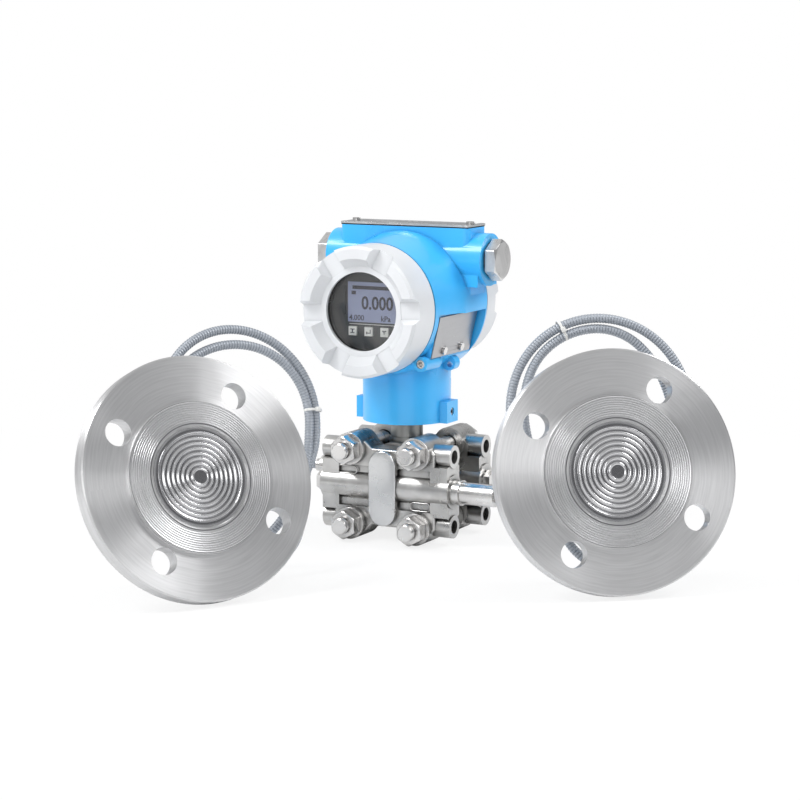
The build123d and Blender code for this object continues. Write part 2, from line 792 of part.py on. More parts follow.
# Routes of the capillaries, chosen by hand; the leads in the model's frame, the tails in the seal's frame
left_lead = [
    (-92, 27, 40), (-116, 27, 40), (-139, 14, 35), (-150, -12, 26), (-149, -44, 15), (-141, -78, 8),
    (-126, -110, 5), (-104, -138, 5), (-77, -150, 6), (-50, -156, 10), (-27, -155, 24), (-14, -147, 46),
    (-13, -132, 74),
]
right_lead = [
    (92, -27, 40), (116, -27, 40), (138, -38, 40), (151, -59, 44), (154, -81, 56), (149, -97, 74),
    (139.5, -101, 96),
]
left_tail = [
    (0, 19, -31), (0, 34, -31), (1.2, 48.5, -36), (4.5, 61.5, -45), (9.5, 74.5, -54),
]
right_tail = [
    (17.2, 8.0, -31), (33.5, 15.6, -31), (48.5, 25, -37), (60, 38.5, -46), (66.5, 54, -54),
]


def local_route(place, points):
    return [tuple(place.from_local_coords(Vector(*p))) for p in points]


def build_process_side():
    nodes = {}
    nodes["sensor_body"] = sensor_body()
    nodes["front_process_flange"] = process_flange(-1) + oval_pad()
    nodes["rear_process_flange"] = process_flange(1)
    nodes["cell_gaskets"] = cell_gaskets()
    nodes["flange_washers"] = flange_washers()
    for name, x, z in bolt_places():
        nodes[f"bolt_{name}"] = flange_bolt(x, z)
        nodes[f"nut_{name}"] = flange_nut(x, z)
    nodes["front_stub_tube"] = stub_tube(1, -1)
    nodes["rear_stub_tube"] = stub_tube(-1, 1)
    nodes["front_port_plug"] = port_plug(-1, -1)
    nodes["rear_port_plug"] = port_plug(1, 1)
    return nodes


def build_housing():
    nodes = {}
    nodes["housing"] = housing()
    nodes["tag_plate"] = tag_plate()
    nodes["tag_screws"] = tag_screws()
    nodes["neck_set_screws"] = set_screws()
    nodes["cover_lock_screw"] = lock_screw()
    nodes["display_module"] = display_module()
    nodes["display_bezel"] = display_bezel()
    nodes["lcd_panel"] = lcd_panel()
    nodes["terminal_block"] = terminal_block()
    nodes["top_gasket"] = top_gasket()
    nodes["top_plate"] = top_plate()
    for sx, name in ((-1, "left"), (1, "right")):
        nodes[f"{name}_plate_screw"] = plate_screw(sx)
        nodes[f"{name}_push_button"] = push_button(sx)
        nodes[f"{name}_plug_washer"] = plug_washer(sx)
        nodes[f"{name}_entry_plug"] = entry_plug(sx)
    for k, x in enumerate(key_places()):
        nodes[f"display_key_{k + 1}"] = display_key(x)
    return nodes


def build_covers():
    return {
        "front_cover_seal": cover_seal(-1),
        "front_cover": front_cover(),
        "window_glass": window_glass(),
        "glass_ring": glass_ring(),
        "rear_cover_seal": cover_seal(1),
        "rear_cover": rear_cover(),
    }


def build_seal(name, at, turn, lean, roll, exit_turn, span, side, top_r, lead, tail, tie_turn):
    place = seal_place(at, turn, lean)
    nodes = {}
    nodes[f"{name}_seal_flange"] = place * seal_flange(roll)
    nodes[f"{name}_membrane"] = place * membrane()
    nodes[f"{name}_seal_neck"] = place * seal_neck(exit_turn)
    nodes[f"{name}_capillary_coil"] = place * coil_solid(lean, span, side, top_r)
    nodes[f"{name}_capillary_lead"] = tube_along(lead)
    nodes[f"{name}_capillary_tail"] = tube_along(local_route(place, tail))
    nodes[f"{name}_cable_tie"] = place * cable_tie(lean, span, side, top_r, tie_turn)
    return nodes


nodes = build_process_side()
nodes.update(build_housing())
nodes.update(build_covers())
nodes.update(build_seal("left", left_at, left_turn, left_lean, left_roll, left_exit, left_coil_span,
                        left_coil_side, left_coil_top_r, left_lead, left_tail, -3))
nodes.update(build_seal("right", right_at, right_turn, right_lean, right_roll, right_exit,
                        right_coil_span, right_coil_side, right_coil_top_r, right_lead, right_tail, 114.6))

cord_parts = ("_lead", "_tail", "_coil", "_tie")
solid_box = Compound([s for n, s in nodes.items() if not n.endswith(cord_parts)]).bounding_box()
middle = (solid_box.min + solid_box.max) * 0.5
shift = Pos(-middle.X, -middle.Y, -solid_box.min.Z)
print("moved by", [round(v, 3) for v in (-middle.X, -middle.Y, -solid_box.min.Z)])
print("size", [round(v, 2) for v in solid_box.size])

os.makedirs("parts", exist_ok=True)
for node_name, shape in nodes.items():
    export_step(shift * shape, f"parts/{node_name}.step")
print(len(nodes), "nodes")
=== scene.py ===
"""Differential pressure transmitter with two remote diaphragm seals.

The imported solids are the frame. This file dresses them: cast and painted surfaces, turned steel,
ribbed capillary armour, the display and the small marks.
"""

import json
import math

import bpy
from mathutils import Matrix, Vector

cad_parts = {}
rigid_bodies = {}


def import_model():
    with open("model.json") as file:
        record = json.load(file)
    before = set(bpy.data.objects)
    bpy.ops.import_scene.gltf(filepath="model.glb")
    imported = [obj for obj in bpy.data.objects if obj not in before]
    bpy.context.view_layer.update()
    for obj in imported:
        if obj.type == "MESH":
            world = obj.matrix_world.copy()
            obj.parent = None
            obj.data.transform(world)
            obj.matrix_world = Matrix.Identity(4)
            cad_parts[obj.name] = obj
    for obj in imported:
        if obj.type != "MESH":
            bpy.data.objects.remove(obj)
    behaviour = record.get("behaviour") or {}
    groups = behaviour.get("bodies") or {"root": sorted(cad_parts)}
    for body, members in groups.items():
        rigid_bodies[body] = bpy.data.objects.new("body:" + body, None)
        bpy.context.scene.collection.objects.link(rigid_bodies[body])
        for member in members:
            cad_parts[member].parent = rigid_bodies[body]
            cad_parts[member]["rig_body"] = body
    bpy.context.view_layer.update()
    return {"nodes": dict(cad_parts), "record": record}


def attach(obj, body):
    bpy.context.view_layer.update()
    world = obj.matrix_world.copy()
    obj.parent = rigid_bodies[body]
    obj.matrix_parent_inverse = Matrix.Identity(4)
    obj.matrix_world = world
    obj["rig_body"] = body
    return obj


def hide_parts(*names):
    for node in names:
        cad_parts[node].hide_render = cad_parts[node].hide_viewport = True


for old in list(bpy.data.objects):
    bpy.data.objects.remove(old)
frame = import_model()
node = frame["nodes"]

# Sizes of the part are in millimetres and come from its source; the studio and the finishes are in metres.
MM = 0.001
NECK = Vector((-94.515, 131.890, 0)) * MM

# The axis of the cable entries, the flange bolts, and the frames on the front process flange
ENTRY_Y, ENTRY_Z = 10.0, 208.0
BOLT_R = 6.0
BOLTS = {
    f"{level}_{side}": (x, z)
    for level, z in (("upper", 68.0), ("lower", 12.0)) for side, x in (("left", -27.3), ("right", 27.3))
}
STUD_TIP_Y = -57.05
BARE_FRAMES = {"left": (-31.4, -36.55, 51.5), "right": (29.6, -36.55, 28.2)}

# Turns a piece that was made lying, facing +Z, so that it faces -Y
UPRIGHT = Matrix.Rotation(math.radians(90), 4, "X")


def place(x, y, z):
    """A point given in millimetres from the foot of the neck's axis."""
    return NECK + Vector((x, y, z)) * MM


def moved(*at):
    """The matrix that moves a piece made at the origin to a place."""
    return Matrix.Translation(place(*at))


# Camera, at the photograph's viewing angle

FOCAL_PIXELS = 2278
IMAGE_PIXELS = 800
SENSOR = 36.0
CAMERA_AT = (774.2, -1498.6, 353.3)
CAMERA_TURN = 27.5
CAMERA_DIP = 8.51


def set_camera():
    turn, dip = math.radians(CAMERA_TURN), math.radians(CAMERA_DIP)
    forward = Vector((-math.sin(turn) * math.cos(dip), math.cos(turn) * math.cos(dip), -math.sin(dip)))
    right = Vector((math.cos(turn), math.sin(turn), 0))
    up = right.cross(forward)
    lens = bpy.data.cameras.new("camera")
    lens.sensor_width = SENSOR
    lens.lens = FOCAL_PIXELS / IMAGE_PIXELS * SENSOR
    lens.clip_start = 0.05
    lens.clip_end = 20
    camera = bpy.data.objects.new("camera", lens)
    bpy.context.collection.objects.link(camera)
    columns = Matrix((right, up, -forward)).transposed().to_4x4()
    camera.matrix_world = moved(*CAMERA_AT) @ columns
    bpy.context.scene.camera = camera


set_camera()

# Seals: each has a frame of its own, with z out of its face and y up its face

SEAL_R = 82.5
RIM = 12
LEAN = {"left": 20.0, "right": 14.0}


def seal_height(lean):
    """Height of a leaning seal's middle, when its rim stands on the floor."""
    return SEAL_R * math.cos(lean) + RIM * math.sin(lean)


def seal_frame(x, y, turn, lean):
    turn, lean = math.radians(turn), math.radians(lean)
    out = Vector((math.sin(turn) * math.cos(lean), -math.cos(turn) * math.cos(lean), math.sin(lean)))
    across = Vector((math.cos(turn), math.sin(turn), 0))
    turned = Matrix((across, out.cross(across), out)).transposed().to_4x4()
    return moved(x, y, seal_height(lean)) @ turned


SEALS = {
    "left": seal_frame(-22.5, -253.4, 58.5, LEAN["left"]),
    "right": seal_frame(215.8, -114.4, 38.4, LEAN["right"]),
}

# Capillaries: the routes of the part's source, with the coil's turns between lead and tail

LEFT_LEAD = [
    (-92, 27, 40), (-116, 27, 40), (-139, 14, 35), (-150, -12, 26), (-149, -44, 15), (-141, -78, 8),
    (-126, -110, 5), (-104, -138, 5), (-77, -150, 6), (-50, -156, 10), (-27, -155, 24), (-14, -147, 46),
]
RIGHT_LEAD = [
    (92, -27, 40), (116, -27, 40), (138, -38, 40), (151, -59, 44), (154, -81, 56),
]
LEFT_TAIL = [
    (24.2, 83.6, -52), (16.3, 75.5, -47.5), (8.5, 66, -43.5), (3.2, 56, -40), (0.8, 45, -35), (0, 34, -31),
    (0, 19, -31),
]
RIGHT_TAIL = [(56, 40, -48), (47.5, 25.5, -38), (33.5, 15.6, -31), (17.2, 8.0, -31)]

# The coils: their plane behind the seal's face, their foot's radius, the strand's radius and its offset from the
# middle of the bundle, the distance between control points, the lay in degrees per turn, and the foot's height
COIL_PLANE = -55.6
FOOT_R = 35.0
STRAND_R = 3.25
STRAND_OFFSET = 4.2
STRAND_STEP = 20
LAY_TURN = 120
FLOOR_GAP = 8.0


class Coil:
    """Outline of a coil in its seal's frame: a wide arc above, a narrow one below, straight sides."""

    def __init__(self, side, foot_y, span, top_r, spread):
        self.foot = Vector((side, foot_y))
        self.top = Vector((side, foot_y + span))
        self.top_r = top_r
        self.slope = math.asin((top_r - FOOT_R) / span)
        self.spread = spread
        side_run = span * math.cos(self.slope)
        self.runs = [top_r * (math.pi + 2 * self.slope), side_run,
                     FOOT_R * (math.pi - 2 * self.slope), side_run]
        self.round = sum(self.runs)

    def at(self, way):
        """Point of the outline and its outward direction, way millimetres on from the right side's top."""
        way %= self.round
        top_run, side_run, foot_run, _ = self.runs
        left = math.pi + self.slope
        right = -self.slope
        if way < top_run:
            turn = right + way / self.top_r
            out = Vector((math.cos(turn), math.sin(turn)))
            return self.top + out * self.top_r, out
        way -= top_run
        if way < side_run:
            out = Vector((math.cos(left), math.sin(left)))
            start, end = self.top + out * self.top_r, self.foot + out * FOOT_R
            return start.lerp(end, way / side_run), out
        way -= side_run
        if way < foot_run:
            turn = left + way / FOOT_R
            out = Vector((math.cos(turn), math.sin(turn)))
            return self.foot + out * FOOT_R, out
        way -= foot_run
        out = Vector((math.cos(right), math.sin(right)))
        start, end = self.foot + out * FOOT_R, self.top + out * self.top_r
        return start.lerp(end, way / side_run), out

    def turns(self, first, length):
        """Control points of the strand from the distance first on, a signed length along the outline."""
        count = int(abs(length) / STRAND_STEP)
        points = []
        for k in range(count + 1):
            way = first + length * k / count
            middle, out = self.at(way)
            lay = math.radians(LAY_TURN * abs(way - first) / self.round)
            loose = self.spread(way % self.round, abs(way - first) / self.round)
            spot = middle + out * (STRAND_OFFSET * math.cos(lay) + loose)
            points.append((spot.x, spot.y, COIL_PLANE + STRAND_OFFSET * math.sin(lay)))
        return points


def capillary(name, lead, coil, tail):
    """Route of one armoured capillary, from its stub tube through the coil to the boss of its seal."""
    route = [place(*p) for p in lead]
    route += [SEALS[name] @ (Vector(p) * MM) for p in coil + tail]
    curve = bpy.data.curves.new(f"{name}_route", "CURVE")
    curve.dimensions = "3D"
    curve.resolution_u = 10
    spline = curve.splines.new("NURBS")
    spline.points.add(len(route) - 1)
    for point, at in zip(spline.points, route):
        point.co = (*at, 1)
    spline.order_u = 3
    spline.use_endpoint_u = True
    guide = bpy.data.objects.new(f"{name}_route", curve)
    bpy.context.collection.objects.link(guide)
    line = bpy.data.meshes.new_from_object(guide)
    path = [v.co.copy() for v in line.vertices]
    bpy.data.objects.remove(guide)
    bpy.data.meshes.remove(line)
    return [a for a, b in zip(path, path[1:]) if (b - a).length > 1e-6] + [path[-1]]


def along(path):
    """Distances of the path's points from its start."""
    gone = [0.0]
    for a, b in zip(path, path[1:]):
        gone.append(gone[-1] + (b - a).length)
    return gone


# The armour's ribs: their pitch, and the rings of one rib as pairs of its share of the pitch and of the radius
RIB = 2.1
RIB_RINGS = ((0.0, 1.0), (0.50, 1.0), (0.66, 0.915), (0.84, 0.915))
AROUND = 12


def ribbed_tube(name, path):
    """Mesh of the armoured hose: a ring of vertices for each edge of every rib, along the path."""
    gone = along(path)
    total = gone[-1]
    count = int(total / (RIB * MM))
    pitch = total / count
    stations = [(pitch * (k + share), size) for k in range(count) for share, size in RIB_RINGS]
    stations.append((total, 1.0))
    verts, faces, uvs = [], [], []
    k = 0
    side = None
    for way, size in stations:
        while k < len(gone) - 2 and gone[k + 1] < way:
            k += 1
        share = min(1.0, max(0.0, (way - gone[k]) / (gone[k + 1] - gone[k])))
        spot = path[k].lerp(path[k + 1], share)
        before = (path[k + 1] - path[max(k - 1, 0)]).normalized()
        after = (path[min(k + 2, len(path) - 1)] - path[k]).normalized()
        along_it = before.lerp(after, share).normalized()
        if side is None:
            side = along_it.orthogonal().normalized()
        side = (side - along_it * side.dot(along_it)).normalized()
        other = along_it.cross(side)
        for j in range(AROUND):
            turn = 2 * math.pi * j / AROUND
            verts.append(spot + (side * math.cos(turn) + other * math.sin(turn)) * STRAND_R * size * MM)
    rings = len(stations)
    for r in range(rings - 1):
        for j in range(AROUND):
            n = (j + 1) % AROUND
            faces.append((r * AROUND + j, r * AROUND + n, (r + 1) * AROUND + n, (r + 1) * AROUND + j))
            v0, v1 = stations[r][0] / MM, stations[r + 1][0] / MM
            u0, u1 = j / AROUND, (j + 1) / AROUND
            uvs += [(u0, v0), (u1, v0), (u1, v1), (u0, v1)]
    faces.append(tuple(range(AROUND))[::-1])
    faces.append(tuple(range((rings - 1) * AROUND, rings * AROUND)))
    uvs += [(0.0, 0.0)] * (2 * AROUND)
    mesh = bpy.data.meshes.new(name)
    mesh.from_pydata([tuple(v) for v in verts], [], faces)
    layer = mesh.uv_layers.new(name="hose")
    for slot_of_uv, uv in zip(layer.data, uvs):
        slot_of_uv.uv = uv
    for face in mesh.polygons:
        face.use_smooth = True
    hose = bpy.data.objects.new(name, mesh)
    bpy.context.collection.objects.link(hose)
    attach(hose, "base")
    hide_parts(f"{name}_lead", f"{name}_coil", f"{name}_tail")
    print(name, "length", round(total, 4))
    return hose


def bump_of(way, middle, half):
    """A smooth rise from 0 to 1 and back, half wide on each side of the middle."""
    share = abs(way - middle) / half
    return 0.0 if share >= 1 else 0.5 + 0.5 * math.cos(math.pi * share)


def foot_height(lean):
    """Middle of a coil's foot in its seal's frame, so that the coil stands on the floor."""
    tilt = math.radians(lean)
    return (FLOOR_GAP - seal_height(tilt) - COIL_PLANE * math.sin(tilt)) / math.cos(tilt) + FOOT_R


# From this share of a turn on, the strand lies beside its first turn
SECOND_TURN = 0.75


def left_spread(way, turn):
    """How far the left strand stands off its neighbour in the second turn."""
    return -4.0 * bump_of(way, 110, 75) if turn > SECOND_TURN else 0.0


def right_spread(way, turn):
    """The same for the right coil."""
    if turn <= SECOND_TURN:
        return 0.0
    return -2.5 * bump_of(way, 210, 50) - 7.0 * bump_of(way, 45, 70)


LEFT = Coil(64.0, foot_height(LEAN["left"]), 73.3, 57.0, left_spread)
RIGHT = Coil(7.0, foot_height(LEAN["right"]), 74.4, 61.0, right_spread)

# Where each strand joins and leaves its coil, in millimetres along the outline
LEFT_START, LEFT_END = 425, 137
RIGHT_START, RIGHT_END = 256, 32
LEFT_TURNS = LEFT.turns(LEFT_START, LEFT.round - LEFT_START + LEFT.round + LEFT_END)
RIGHT_TURNS = RIGHT.turns(RIGHT_START, -(RIGHT_START - RIGHT_END + RIGHT.round))
LEFT_PATH = capillary("left", LEFT_LEAD, LEFT_TURNS, LEFT_TAIL)
RIGHT_PATH = capillary("right", RIGHT_LEAD, RIGHT_TURNS, RIGHT_TAIL)

# Surroundings: a pale floor, a white background and plain studio lamps

def new_material(name):
    made = bpy.data.materials.new(name)
    made.use_nodes = True
    made.node_tree.nodes.clear()
    return made


class Tree:
    """Short ways to build a material's nodes."""

    def __init__(self, tree):
        self.tree = tree

    def add(self, kind, **values):
        made = self.tree.nodes.new("ShaderNode" + kind)
        for key, value in values.items():
            if key in made.bl_rna.properties:
                setattr(made, key, value)
            else:
                made.inputs[key.replace("_", " ")].default_value = value
        return made

    def link(self, out, into):
        self.tree.links.new(out, into)

    def math(self, operation, first, second):
        """The result of an operation on two values, each of them a socket or a number."""
        made = self.add("Math", operation=operation)
        for socket, value in zip(made.inputs, (first, second)):
            if isinstance(value, (int, float)):
                socket.default_value = value
            else:
                self.link(value, socket)
        return made.outputs[0]

    def remap(self, value, from_range, to_range, **values):
        """Spreads a value's range over another."""
        made = self.add("MapRange", **values)
        made.inputs["From Min"].default_value, made.inputs["From Max"].default_value = from_range
        made.inputs["To Min"].default_value, made.inputs["To Max"].default_value = to_range
        self.link(value, made.inputs["Value"])
        return made.outputs[0]

    def ramp(self, value, *stops):
        """A colour ramp; its stops are pairs of position and colour, in order."""
        made = self.add("ValToRGB")
        elements = made.color_ramp.elements
        elements[0].position, elements[1].position = stops[0][0], stops[-1][0]
        for at, _ in stops[1:-1]:
            elements.new(at)
        for element, (_, color) in zip(elements, stops):
            element.color = (*color, 1)
        self.link(value, made.inputs[0])
        return made.outputs[0]

    def seen_directly(self):
        """1 for rays of the camera and rays through glass, otherwise 0."""
        rays = self.add("LightPath")
        return self.math("MAXIMUM", rays.outputs["Is Camera Ray"], rays.outputs["Is Transmission Ray"])

    def mixed(self, share, first, second):
        """Two shaders mixed, with the given share of the second."""
        made = self.add("MixShader")
        self.link(share, made.inputs[0])
        self.link(first.outputs[0], made.inputs[1])
        self.link(second.outputs[0], made.inputs[2])
        return made.outputs[0]


def set_world():
    world = bpy.data.worlds.new("studio")
    bpy.context.scene.world = world
    world.use_nodes = True
    world.node_tree.nodes.clear()
    t = Tree(world.node_tree)
    way = t.add("TexCoord")
    towards = t.add("VectorMath", operation="DOT_PRODUCT")
    towards.inputs[1].default_value = (-0.30, -0.05, 0.95)
    t.link(way.outputs["Generated"], towards.inputs[0])
    sky = [(at, (level, level * 1.01, level * 1.03)) for at, level in ((0.22, 0.34), (0.42, 0.62), (0.55, 1.0))]
    dome = t.ramp(towards.outputs["Value"], (0.0, (0.30, 0.31, 0.33)), *sky, (0.80, (1, 1, 1)))
    mirrored = t.math("MULTIPLY", t.add("LightPath").outputs["Is Glossy Ray"], 0.18)
    soft = t.add("Background", Strength=0.72)
    t.link(dome, soft.inputs["Color"])
    white = t.add("Background", Strength=1.0, Color=(1, 1, 1, 1))
    out = t.add("OutputWorld")
    t.link(t.mixed(t.math("MAXIMUM", t.seen_directly(), mirrored), soft, white), out.inputs["Surface"])


def add_floor():
    bpy.ops.mesh.primitive_plane_add(size=14, location=(0, 0, -0.0002))
    floor = bpy.context.object
    floor.name = "floor"
    made = new_material("floor_white")
    t = Tree(made.node_tree)
    paper = t.add("BsdfDiffuse", Color=(0.93, 0.93, 0.93, 1))
    glow = t.add("Emission", Strength=1.0, Color=(1, 1, 1, 1))
    spot = t.add("TexCoord")
    far = t.add("VectorMath", operation="LENGTH")
    t.link(spot.outputs["Object"], far.inputs[0])
    rise = t.remap(far.outputs["Value"], (0.22, 0.75), (0.82, 1.0), interpolation_type="SMOOTHSTEP")
    out = t.add("OutputMaterial")
    t.link(t.mixed(t.math("MULTIPLY", t.seen_directly(), rise), paper, glow), out.inputs["Surface"])
    floor.data.materials.append(made)


def add_lamp(name, at, aim, size, power):
    lamp = bpy.data.lights.new(name, "AREA")
    lamp.shape = "RECTANGLE"
    lamp.size, lamp.size_y = size
    lamp.energy = power
    holder = bpy.data.objects.new(name, lamp)
    bpy.context.collection.objects.link(holder)
    holder.location = at
    holder.rotation_euler = (Vector(aim) - Vector(at)).to_track_quat("-Z", "Y").to_euler()


bpy.context.scene.view_settings.view_transform = "Standard"
set_world()
add_floor()
add_lamp("key_lamp", (-0.9, -0.9, 1.5), (-0.05, 0.05, 0.12), (0.6, 0.6), 17)
add_lamp("front_lamp", (0.5, -1.9, 0.9), (0, 0, 0.1), (1.4, 0.7), 12)
add_lamp("top_lamp", (1.0, 0.66, 1.25), (0, 0, 0.1), (0.6, 0.6), 13)

# Finishes. Noise textures' values within NOISE_SPAN are spread over the whole change of colour or roughness.

NOISE_SPAN = (0.3, 0.7)


def principled(name, color, rough, **values):
    """A material, its tree, its shader and the coordinates for its textures."""
    made = new_material(name)
    t = Tree(made.node_tree)
    shader = t.add("BsdfPrincipled", Base_Color=(*color, 1), Roughness=rough, **values)
    out = t.add("OutputMaterial")
    t.link(shader.outputs[0], out.inputs["Surface"])
    return made, t, shader, t.add("TexCoord")


def around(middle, change):
    return middle - change, middle + change


def varied(t, coords, shader, color, change, scale, rough, rough_change, stretch=(1, 1, 1)):
    """Slow change of colour and roughness over a surface."""
    stretched = t.add("Mapping", Scale=stretch)
    t.link(coords.outputs["Object"], stretched.inputs[0])
    noise = t.add("TexNoise", Scale=scale, Detail=4.0)
    t.link(stretched.outputs[0], noise.inputs["Vector"])
    tint = t.add("VectorMath", operation="SCALE")
    tint.inputs[0].default_value = color
    t.link(t.remap(noise.outputs["Fac"], NOISE_SPAN, around(1, change)), tint.inputs["Scale"])
    t.link(tint.outputs[0], shader.inputs["Base Color"])
    t.link(t.remap(noise.outputs["Fac"], NOISE_SPAN, around(rough, rough_change)), shader.inputs["Roughness"])


def painted_corner_shade(t, shader, reach, depth):
    """Painted shade: darkens the base colour in narrow corners and crevices, by ambient occlusion."""
    hidden = t.add("AmbientOcclusion", Distance=reach, samples=8)
    before = shader.inputs["Base Color"].links[0].from_socket
    tint = t.add("VectorMath", operation="SCALE")
    t.link(before, tint.inputs[0])
    t.link(t.remap(hidden.outputs["AO"], (0.25, 0.95), (1 - depth, 1.0)), tint.inputs["Scale"])
    t.link(tint.outputs[0], shader.inputs["Base Color"])


def grained(t, coords, shader, scale, height):
    """Fine bumps, such as the skin of a casting or the orange peel of paint."""
    noise = t.add("TexNoise", Scale=scale, Detail=2.0)
    t.link(coords.outputs["Object"], noise.inputs["Vector"])
    bump = t.add("Bump", Strength=0.5, Distance=height)
    t.link(noise.outputs["Fac"], bump.inputs["Height"])
    t.link(bump.outputs[0], shader.inputs["Normal"])


def painted(name, color, rough, coat, peel):
    made, t, shader, coords = principled(name, color, rough, Coat_Weight=coat, Coat_Roughness=0.12)
    varied(t, coords, shader, color, 0.035, 30, rough, 0.05)
    # Painted shade in the enamel's narrow corners.
    painted_corner_shade(t, shader, 0.004, 0.35)
    grained(t, coords, shader, 900, peel)
    return made


def machined(name, color, rough, grain=1500, height=0.00002, change=0.06, corners=0.5, stretch=(1, 1, 1)):
    made, t, shader, coords = principled(name, color, rough, Metallic=1.0)
    varied(t, coords, shader, color, change, 60, rough, 0.06, stretch)
    # Painted shade in the corners, as deep as corners says.
    painted_corner_shade(t, shader, 0.006, corners)
    grained(t, coords, shader, grain, height)
    return made


def turned_steel(name, color, rough, streak, brushed, grooves=None):
    """Steel turned on a lathe: its fine marks run round, along the piece's own UV map; with grooves given, so do
    bands of painted shade.
    """
    made, t, shader, _ = principled(name, color, rough, Metallic=1.0, Anisotropic=brushed,
                                    Anisotropic_Rotation=0.25)
    uv = t.add("UVMap", uv_map="turning")
    tangent = t.add("Tangent", direction_type="UV_MAP", uv_map="turning")
    t.link(tangent.outputs[0], shader.inputs["Tangent"])
    stretched = t.add("Mapping", Scale=(0.25, 90, 1))
    t.link(uv.outputs[0], stretched.inputs[0])
    noise = t.add("TexNoise", Scale=9.0, Detail=3.0)
    t.link(stretched.outputs[0], noise.inputs["Vector"])
    t.link(t.remap(noise.outputs["Fac"], NOISE_SPAN, around(rough, streak)), shader.inputs["Roughness"])
    dull, bright = [c * 0.93 for c in color], [min(1, c * 1.05) for c in color]
    shade = t.ramp(noise.outputs["Fac"], (0.35, dull), (0.65, bright))
    t.link(shade, shader.inputs["Base Color"])
    # Painted shade: grooves gives the radius of the first ring, the pitch and the darkness, and a band of each
    # ring is darkened, for the shade on the membrane's waves and in the gasket face's grooves.
    if grooves:
        start, pitch, dark = grooves
        out_from_middle = t.add("SeparateXYZ")
        t.link(uv.outputs["UV"], out_from_middle.inputs[0])
        count = t.math("DIVIDE", t.math("SUBTRACT", out_from_middle.outputs["Y"], start * MM), pitch * MM)
        open_metal, groove = (1, 1, 1), (dark, dark, dark * 1.02)
        depth = t.ramp(t.math("FRACT", count, 0), (0.0, open_metal), (0.25, groove), (0.52, groove),
                       (0.80, open_metal), (1.0, open_metal))
        tint = t.add("VectorMath", operation="MULTIPLY")
        t.link(shade, tint.inputs[0])
        t.link(depth, tint.inputs[1])
        t.link(tint.outputs[0], shader.inputs["Base Color"])
    return made


def ribbed_armour():
    """Grey-blue armour, with painted shade in the valleys between its ribs, along the hose's own UV map."""
    ridge, valley_shade = (0.37, 0.40, 0.445), (0.165, 0.185, 0.215)
    made, t, shader, _ = principled("armour_ribs", ridge, 0.36, Metallic=0.15, Coat_Weight=0.15)
    uv = t.add("UVMap", uv_map="hose")
    on_the_way = t.add("SeparateXYZ")
    t.link(uv.outputs["UV"], on_the_way.inputs[0])
    phase = t.math("FRACT", t.math("MULTIPLY", on_the_way.outputs["Y"], 1 / RIB), 0)
    t.link(t.ramp(phase, (0.50, ridge), (0.72, valley_shade), (0.96, ridge)), shader.inputs["Base Color"])
    return made


def polished_plastic(name, color, rough, grain=1200, height=0.00001, change=0.05, **values):
    made, t, shader, coords = principled(name, color, rough, **values)
    varied(t, coords, shader, color, change, 80, rough, 0.05)
    grained(t, coords, shader, grain, height)
    return made


# Enamels and machined finishes carry painted shade in their corners; for a machined finish, the number after the
# change of colour, or else 0.5, is its depth.
BLUE = painted("blue_enamel", (0.046, 0.475, 0.95), 0.32, 0.35, 0.00003)
WHITE = painted("white_enamel", (0.73, 0.745, 0.765), 0.36, 0.2, 0.00003)
STEEL = machined("plain_steel", (0.68, 0.67, 0.66), 0.25)
CAST = machined("cast_stainless", (0.54, 0.535, 0.525), 0.30, 600, 0.00014, 0.16, 0.85)
POLISHED = machined("polished_oval", (0.60, 0.605, 0.61), 0.25, 1800, 0.00001, 0.03, 0.3)
DARK_STEEL = machined("cell_steel", (0.30, 0.30, 0.29), 0.36, 900, 0.00003)
BRUSHED = machined("brushed_plate", (0.40, 0.40, 0.41), 0.33, 2200, 0.00001, 0.05, 0.6, (1, 1, 10))
LID_STEEL = machined("lid_steel", (0.66, 0.67, 0.68), 0.27, 1600, 0.00001, 0.03, 0.3)
SEAL_STEEL = turned_steel("turned_seal", (0.64, 0.64, 0.645), 0.41, 0.03, 0.92)
# The last numbers of the membrane and the gasket face place bands of painted shade on their waves and grooves.
MEMBRANE_STEEL = turned_steel("membrane_steel", (0.60, 0.60, 0.61), 0.24, 0.03, 0.0, (6.68, 3.414, 0.42))
SERRATED_STEEL = turned_steel("serrated_steel", (0.66, 0.66, 0.67), 0.37, 0.03, 0.3, (37.72, 1.5, 0.26))
TURNED_STEEL = turned_steel("turned_plug", (0.64, 0.635, 0.63), 0.32, 0.06, 0.6)
ARMOUR = ribbed_armour()
TIE = polished_plastic("tie_nylon", (0.80, 0.80, 0.78), 0.4)
RUBBER = polished_plastic("seal_rubber", (0.03, 0.03, 0.032), 0.6)
DISPLAY_GREY = polished_plastic("display_grey", (0.026, 0.030, 0.032), 0.5, 1500, 0.00003)
PANEL = polished_plastic("lcd_glass", (0.27, 0.31, 0.47), 0.22)
INK = polished_plastic("lcd_ink", (0.012, 0.013, 0.03), 0.5)
KEY = polished_plastic("key_white", (0.72, 0.74, 0.72), 0.5)
GLASS = principled("window_clear", (1, 1, 1), 0.02, Transmission_Weight=1.0, IOR=1.45)[0]
BLACK = polished_plastic("terminal_black", (0.04, 0.042, 0.045), 0.5)

for hose_name, hose_path, lead in (("left_capillary", LEFT_PATH, LEFT_LEAD),
                                   ("right_capillary", RIGHT_PATH, RIGHT_LEAD)):
    ribbed_tube(hose_name, hose_path).data.materials.append(ARMOUR)


# Dressed copies: a solid's mesh, joined up, with its edges rounded

def deselect_all():
    bpy.ops.object.select_all(action="DESELECT")


def select_only(piece):
    deselect_all()
    piece.select_set(True)
    bpy.context.view_layer.objects.active = piece


